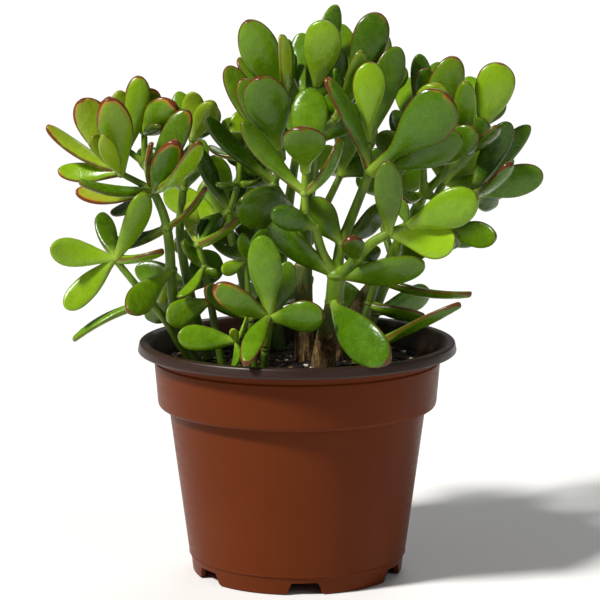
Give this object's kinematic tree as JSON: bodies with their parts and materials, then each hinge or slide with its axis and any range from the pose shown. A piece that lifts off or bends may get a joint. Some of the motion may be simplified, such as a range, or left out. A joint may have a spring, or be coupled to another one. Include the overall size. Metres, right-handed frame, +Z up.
{
  "type": "potted plant",
  "caption": "Jade plant: woody stems with thick oval red-edged leaves, growing in soil in a tapered plastic pot with a rounded lip and a notched foot.",
  "frame": {"origin": "centre of the pot's base, on the surface it stands on", "axes": "+Z up along the pot's axis; -Y is the front, the side the camera sees; +X is the viewer's right"},
  "size_m": [0.261, 0.1721, 0.3013],
  "materials": {
    "terracotta_plastic": "satin",
    "potting_soil": "rough, damp",
    "bark": "rough",
    "stem": "waxy satin",
    "leaf": "waxy"
  },
  "bodies": {
    "root": {"front_trunk": "bark", "front_fork": "stem", "rear_trunk": "bark", "rear_branches": "stem", "right_trunk": "bark", "right_branches": "stem", "right_thin_stem": "stem", "left_stem": "stem", "left_rear_stem": "stem", "left_low_stem": "stem", "inner_left_stem": "stem", "middle_left_stem": "stem", "low_middle_stem": "stem", "back_stem": "stem", "back_right_stem": "stem", "left_crown_leaves": "leaf", "left_rear_leaves": "leaf", "left_low_leaves": "leaf", "left_stem_leaves": "leaf", "left_side_leaves": "leaf", "left_drooping_leaf": "leaf", "left_rear_low_leaves": "leaf", "inner_left_leaves": "leaf", "low_middle_leaves": "leaf", "middle_left_leaves": "leaf", "front_cutting": "leaf", "small_cutting": "leaf", "right_cutting": "leaf", "trunk_ring_leaf": "leaf", "fork_leaves": "leaf", "fork_small_leaves": "leaf", "fork_middle_leaves": "leaf", "front_shoot": "leaf", "fork_top_leaves": "leaf", "right_front_leaves": "leaf", "crown_left_leaves": "leaf", "rear_joint_leaves": "leaf", "crown_top_leaves": "leaf", "crown_right_leaves": "leaf", "crown_back_leaves": "leaf", "crown_back_left_leaves": "leaf", "right_top_leaves": "leaf", "right_outer_leaves": "leaf", "right_side_leaves": "leaf", "right_low_leaves": "leaf", "right_joint_leaf": "leaf", "right_thin_leaves": "leaf", "back_top_leaves": "leaf", "back_left_leaves": "leaf", "back_middle_leaves": "leaf", "back_centre_leaves": "leaf", "back_right_leaves": "leaf", "back_low_right_leaves": "leaf", "back_low_leaves": "leaf", "back_bottom_leaves": "leaf", "pot": "terracotta_plastic", "soil": "potting_soil"}
  },
  "joints": []
}
